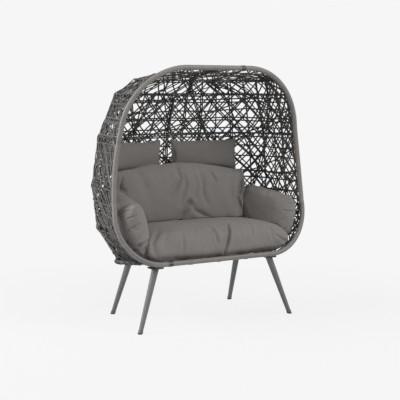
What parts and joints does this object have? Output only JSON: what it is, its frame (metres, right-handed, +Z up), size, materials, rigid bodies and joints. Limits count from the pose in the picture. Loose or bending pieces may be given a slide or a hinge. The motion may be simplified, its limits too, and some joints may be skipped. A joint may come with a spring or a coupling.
{
  "type": "double egg chair",
  "caption": "Free-standing double garden egg chair: an open woven hood on splayed legs, with loose seat, back, arm and head cushions.",
  "frame": {"origin": "on the floor, midway between the two sides and between the foremost and rearmost points", "axes": "+Z up, the open front faces -Y, the seat runs from side to side along X"},
  "size_m": [1.3126, 0.6684, 1.502],
  "materials": {
    "rim_wrap": "flat resin strip wound round the tube, warm grey",
    "weave": "extruded resin strands, dark warm grey",
    "steel_frame": "powder-coated steel, dark grey",
    "legs": "fine-textured powder coat, grey",
    "leg_plastic": "moulded plastic, near black",
    "fasteners": "zinc-plated steel",
    "fabric": "plain-woven outdoor polyester, warm grey"
  },
  "bodies": {
    "root": {"rim_lower": "rim_wrap", "rim_upper": "rim_wrap", "base_ring": "rim_wrap", "floor_net": "weave", "net_lower": "weave", "net_middle": "weave", "net_upper": "weave", "net_crown": "weave", "net_shoulder": "weave", "net_roof": "weave", "wrap_bands": "weave", "rim_spigots": "steel_frame", "leg_rails": "steel_frame", "seat_bars": "steel_frame", "hoop_lower": "steel_frame", "hoop_middle": "steel_frame", "hoop_upper": "steel_frame", "hoop_crown": "steel_frame", "hoop_roof": "steel_frame", "rib_centre": "steel_frame", "rib_left": "steel_frame", "rib_right": "steel_frame", "leg_plates": "steel_frame", "leg_front_left": "legs", "leg_front_right": "legs", "leg_back_left": "legs", "leg_back_right": "legs", "leg_inserts": "leg_plastic", "foot_caps": "leg_plastic", "leg_studs": "fasteners", "plate_screws": "fasteners", "seat_cushion": "fabric", "back_cushion": "fabric", "arm_cushion_left": "fabric", "arm_cushion_right": "fabric", "headrest_left": "fabric", "headrest_right": "fabric"}
  },
  "joints": []
}
